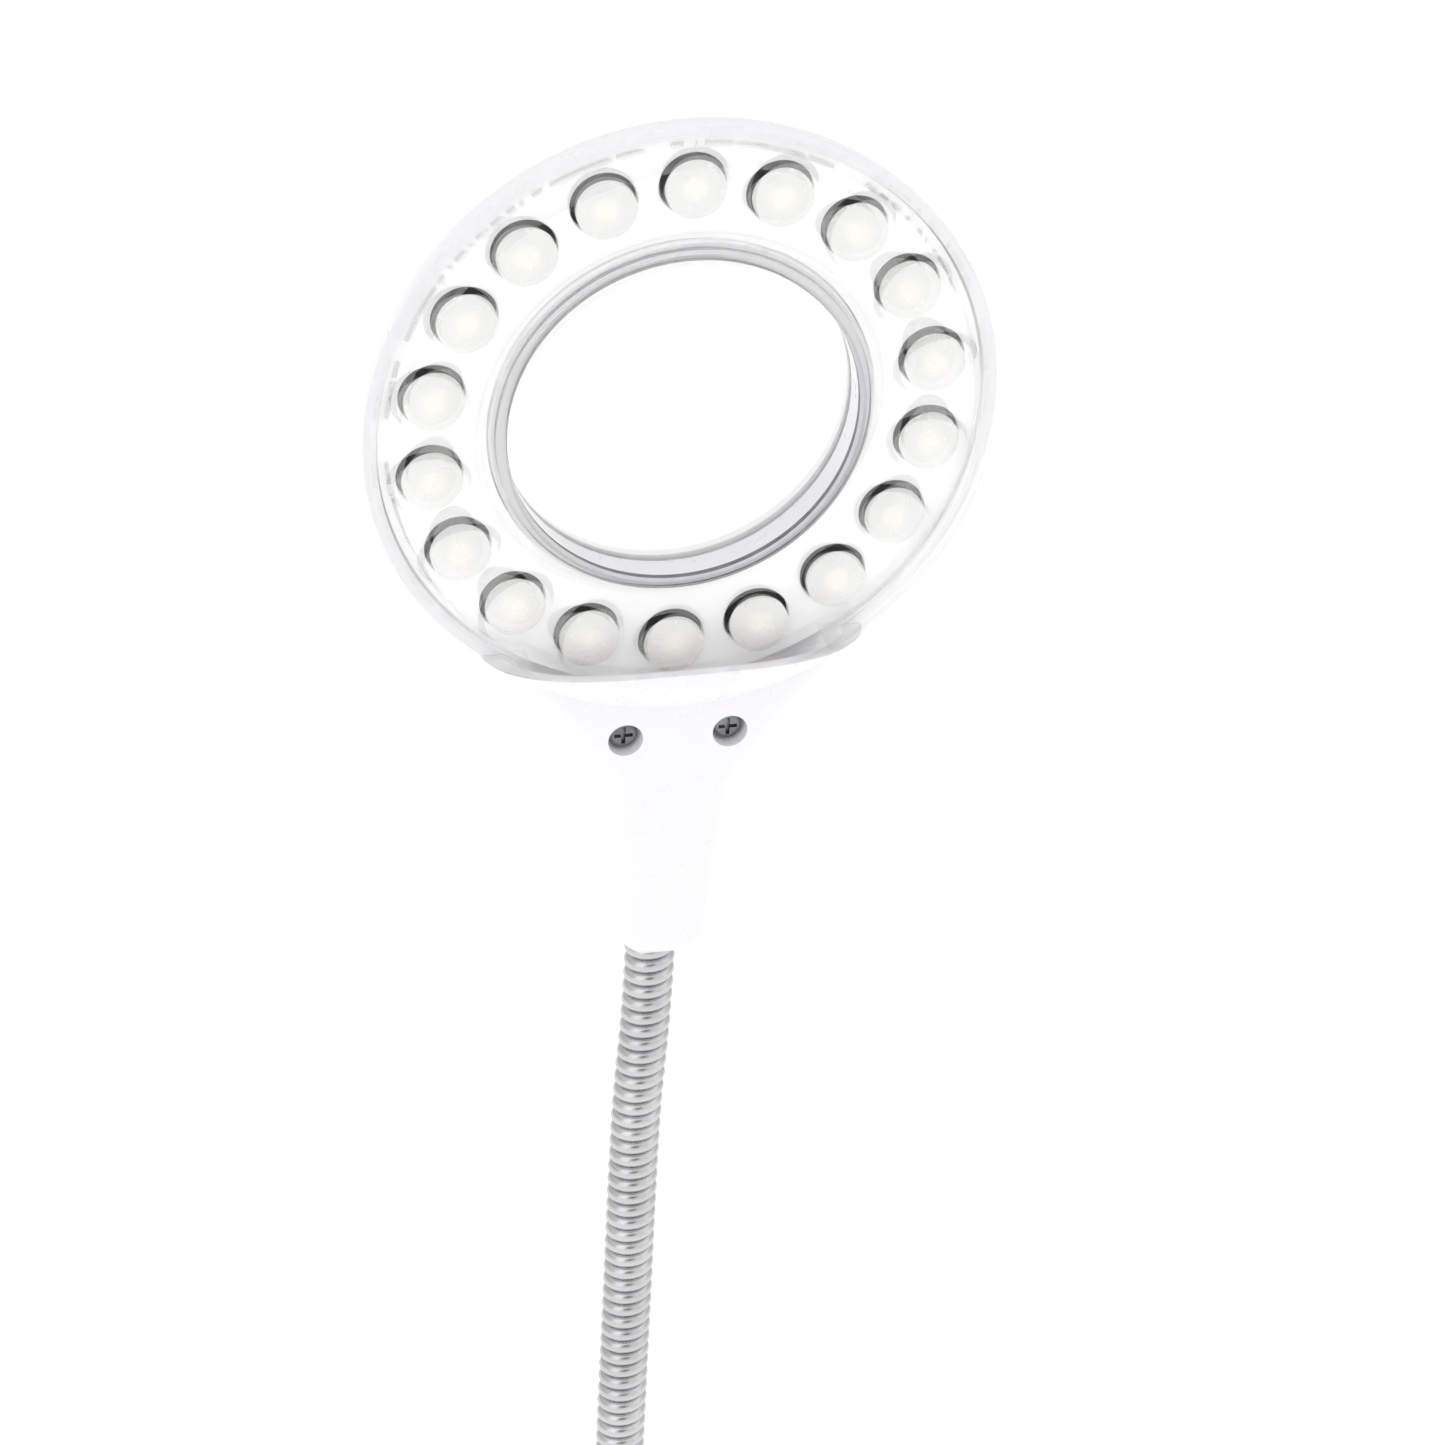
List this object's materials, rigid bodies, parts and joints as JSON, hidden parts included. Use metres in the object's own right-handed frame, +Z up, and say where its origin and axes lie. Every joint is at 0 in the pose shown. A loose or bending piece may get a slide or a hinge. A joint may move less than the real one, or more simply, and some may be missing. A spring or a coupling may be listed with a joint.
{
  "type": "magnifying lamp",
  "caption": "Flexible ring-light magnifier: a clear-fronted ring of LEDs round a lens, on a short white handle and a wound metal gooseneck that rises from a USB plug.",
  "frame": {"origin": "middle of the USB plug at the face of its housing, where the plug enters a socket", "axes": "+Z up along the straight gooseneck to the ring head; the LEDs shine along -Y"},
  "size_m": [0.0784, 0.0163, 0.4136],
  "materials": {
    "white_plastic": "smooth, slightly glossy moulded plastic",
    "clear_plastic": "clear, polished",
    "lens_plastic": "optically clear, polished",
    "gooseneck_metal": "plated wound steel wire",
    "plug_metal": "nickel-plated sheet",
    "ferrule_metal": "plain turned brass",
    "screw_metal": "dark zinc-plated",
    "leg_metal": "tinned",
    "contact_metal": "gold-plated",
    "led_resin": "clear resin over a pale yellow phosphor",
    "board": "black solder mask",
    "plug_board": "green solder mask",
    "resistor": "black ceramic chip",
    "black_plastic": "matt moulded",
    "tongue_plastic": "matt moulded",
    "button_plastic": "smooth",
    "red_insulation": "smooth soft insulation",
    "black_insulation": "smooth soft insulation"
  },
  "bodies": {
    "plug": {"usb_housing_front": "white_plastic", "usb_housing_back": "white_plastic", "usb_shell": "plug_metal", "usb_tongue": "tongue_plastic", "usb_contacts": "contact_metal", "usb_board": "plug_board", "switch_body": "black_plastic", "usb_ferrule": "ferrule_metal", "gooseneck_00": "gooseneck_metal", "positive_lead": "red_insulation", "negative_lead": "black_insulation"},
    "button": {"switch_button": "button_plastic"},
    "link_01": {"gooseneck_01": "gooseneck_metal"},
    "link_02": {"gooseneck_02": "gooseneck_metal"},
    "link_03": {"gooseneck_03": "gooseneck_metal"},
    "link_04": {"gooseneck_04": "gooseneck_metal"},
    "link_05": {"gooseneck_05": "gooseneck_metal"},
    "link_06": {"gooseneck_06": "gooseneck_metal"},
    "link_07": {"gooseneck_07": "gooseneck_metal"},
    "link_08": {"gooseneck_08": "gooseneck_metal"},
    "link_09": {"gooseneck_09": "gooseneck_metal"},
    "link_10": {"gooseneck_10": "gooseneck_metal"},
    "link_11": {"gooseneck_11": "gooseneck_metal"},
    "link_12": {"gooseneck_12": "gooseneck_metal"},
    "link_13": {"gooseneck_13": "gooseneck_metal"},
    "link_14": {"gooseneck_14": "gooseneck_metal"},
    "link_15": {"gooseneck_15": "gooseneck_metal"},
    "link_16": {"gooseneck_16": "gooseneck_metal"},
    "link_17": {"gooseneck_17": "gooseneck_metal"},
    "link_18": {"gooseneck_18": "gooseneck_metal"},
    "link_19": {"gooseneck_19": "gooseneck_metal"},
    "head": {"gooseneck_20": "gooseneck_metal", "head_ferrule": "ferrule_metal", "rear_housing": "white_plastic", "neck_cover": "white_plastic", "neck_screws": "screw_metal", "ring_cover": "clear_plastic", "lens": "lens_plastic", "lens_ring": "white_plastic", "reflector_plate": "white_plastic", "led_board": "board", "led_bodies": "led_resin", "led_legs": "leg_metal", "chip_resistors": "resistor"}
  },
  "joints": [
    {"name": "lower_fore_aft_1", "type": "hinge", "parent": "plug", "child": "link_01", "pos_m": [0, 0, 0.047], "axis": [1, 0, 0], "range_deg": [-16, 16], "deforming": ["positive_lead", "negative_lead"]},
    {"name": "lower_sideways_1", "type": "hinge", "parent": "link_01", "child": "link_02", "pos_m": [0, 0, 0.059], "axis": [0, 1, 0], "range_deg": [-16, 16]},
    {"name": "lower_fore_aft_2", "type": "hinge", "parent": "link_02", "child": "link_03", "pos_m": [0, 0, 0.071], "axis": [1, 0, 0], "range_deg": [-16, 16]},
    {"name": "lower_sideways_2", "type": "hinge", "parent": "link_03", "child": "link_04", "pos_m": [0, 0, 0.083], "axis": [0, 1, 0], "range_deg": [-16, 16]},
    {"name": "lower_fore_aft_3", "type": "hinge", "parent": "link_04", "child": "link_05", "pos_m": [0, 0, 0.095], "axis": [1, 0, 0], "range_deg": [-16, 16]},
    {"name": "lower_sideways_3", "type": "hinge", "parent": "link_05", "child": "link_06", "pos_m": [0, 0, 0.107], "axis": [0, 1, 0], "range_deg": [-16, 16]},
    {"name": "lower_fore_aft_4", "type": "hinge", "parent": "link_06", "child": "link_07", "pos_m": [0, 0, 0.119], "axis": [1, 0, 0], "range_deg": [-16, 16]},
    {"name": "lower_sideways_4", "type": "hinge", "parent": "link_07", "child": "link_08", "pos_m": [0, 0, 0.131], "axis": [0, 1, 0], "range_deg": [-16, 16]},
    {"name": "lower_fore_aft_5", "type": "hinge", "parent": "link_08", "child": "link_09", "pos_m": [0, 0, 0.143], "axis": [1, 0, 0], "range_deg": [-16, 16]},
    {"name": "lower_sideways_5", "type": "hinge", "parent": "link_09", "child": "link_10", "pos_m": [0, 0, 0.155], "axis": [0, 1, 0], "range_deg": [-16, 16]},
    {"name": "upper_fore_aft_1", "type": "hinge", "parent": "link_10", "child": "link_11", "pos_m": [0, 0, 0.167], "axis": [1, 0, 0], "range_deg": [-16, 16]},
    {"name": "upper_sideways_1", "type": "hinge", "parent": "link_11", "child": "link_12", "pos_m": [0, 0, 0.179], "axis": [0, 1, 0], "range_deg": [-16, 16]},
    {"name": "upper_fore_aft_2", "type": "hinge", "parent": "link_12", "child": "link_13", "pos_m": [0, 0, 0.191], "axis": [1, 0, 0], "range_deg": [-16, 16]},
    {"name": "upper_sideways_2", "type": "hinge", "parent": "link_13", "child": "link_14", "pos_m": [0, 0, 0.203], "axis": [0, 1, 0], "range_deg": [-16, 16]},
    {"name": "upper_fore_aft_3", "type": "hinge", "parent": "link_14", "child": "link_15", "pos_m": [0, 0, 0.215], "axis": [1, 0, 0], "range_deg": [-16, 16]},
    {"name": "upper_sideways_3", "type": "hinge", "parent": "link_15", "child": "link_16", "pos_m": [0, 0, 0.227], "axis": [0, 1, 0], "range_deg": [-16, 16]},
    {"name": "upper_fore_aft_4", "type": "hinge", "parent": "link_16", "child": "link_17", "pos_m": [0, 0, 0.239], "axis": [1, 0, 0], "range_deg": [-16, 16]},
    {"name": "upper_sideways_4", "type": "hinge", "parent": "link_17", "child": "link_18", "pos_m": [0, 0, 0.251], "axis": [0, 1, 0], "range_deg": [-16, 16]},
    {"name": "upper_fore_aft_5", "type": "hinge", "parent": "link_18", "child": "link_19", "pos_m": [0.00016, 0, 0.263], "axis": [1, 0, 0], "range_deg": [-16, 16]},
    {"name": "upper_sideways_5", "type": "hinge", "parent": "link_19", "child": "head", "pos_m": [0.00068, 0, 0.275], "axis": [0, 1, 0], "range_deg": [-16, 16]},
    {"name": "switch_press", "type": "slide", "parent": "plug", "child": "button", "axis": [0, 1, 0], "range_m": [0, 0.0008], "stiffness_N_per_m": 1500, "springref_m": -0.0006}
  ],
  "couplings": [
    {"joint": "lower_fore_aft_2", "follows": "lower_fore_aft_1", "ratio": 1},
    {"joint": "lower_sideways_2", "follows": "lower_sideways_1", "ratio": 1},
    {"joint": "lower_fore_aft_3", "follows": "lower_fore_aft_1", "ratio": 1},
    {"joint": "lower_sideways_3", "follows": "lower_sideways_1", "ratio": 1},
    {"joint": "lower_fore_aft_4", "follows": "lower_fore_aft_1", "ratio": 1},
    {"joint": "lower_sideways_4", "follows": "lower_sideways_1", "ratio": 1},
    {"joint": "lower_fore_aft_5", "follows": "lower_fore_aft_1", "ratio": 1},
    {"joint": "lower_sideways_5", "follows": "lower_sideways_1", "ratio": 1},
    {"joint": "upper_fore_aft_2", "follows": "upper_fore_aft_1", "ratio": 1},
    {"joint": "upper_sideways_2", "follows": "upper_sideways_1", "ratio": 1},
    {"joint": "upper_fore_aft_3", "follows": "upper_fore_aft_1", "ratio": 1},
    {"joint": "upper_sideways_3", "follows": "upper_sideways_1", "ratio": 1},
    {"joint": "upper_fore_aft_4", "follows": "upper_fore_aft_1", "ratio": 1},
    {"joint": "upper_sideways_4", "follows": "upper_sideways_1", "ratio": 1},
    {"joint": "upper_fore_aft_5", "follows": "upper_fore_aft_1", "ratio": 1},
    {"joint": "upper_sideways_5", "follows": "upper_sideways_1", "ratio": 1}
  ]
}
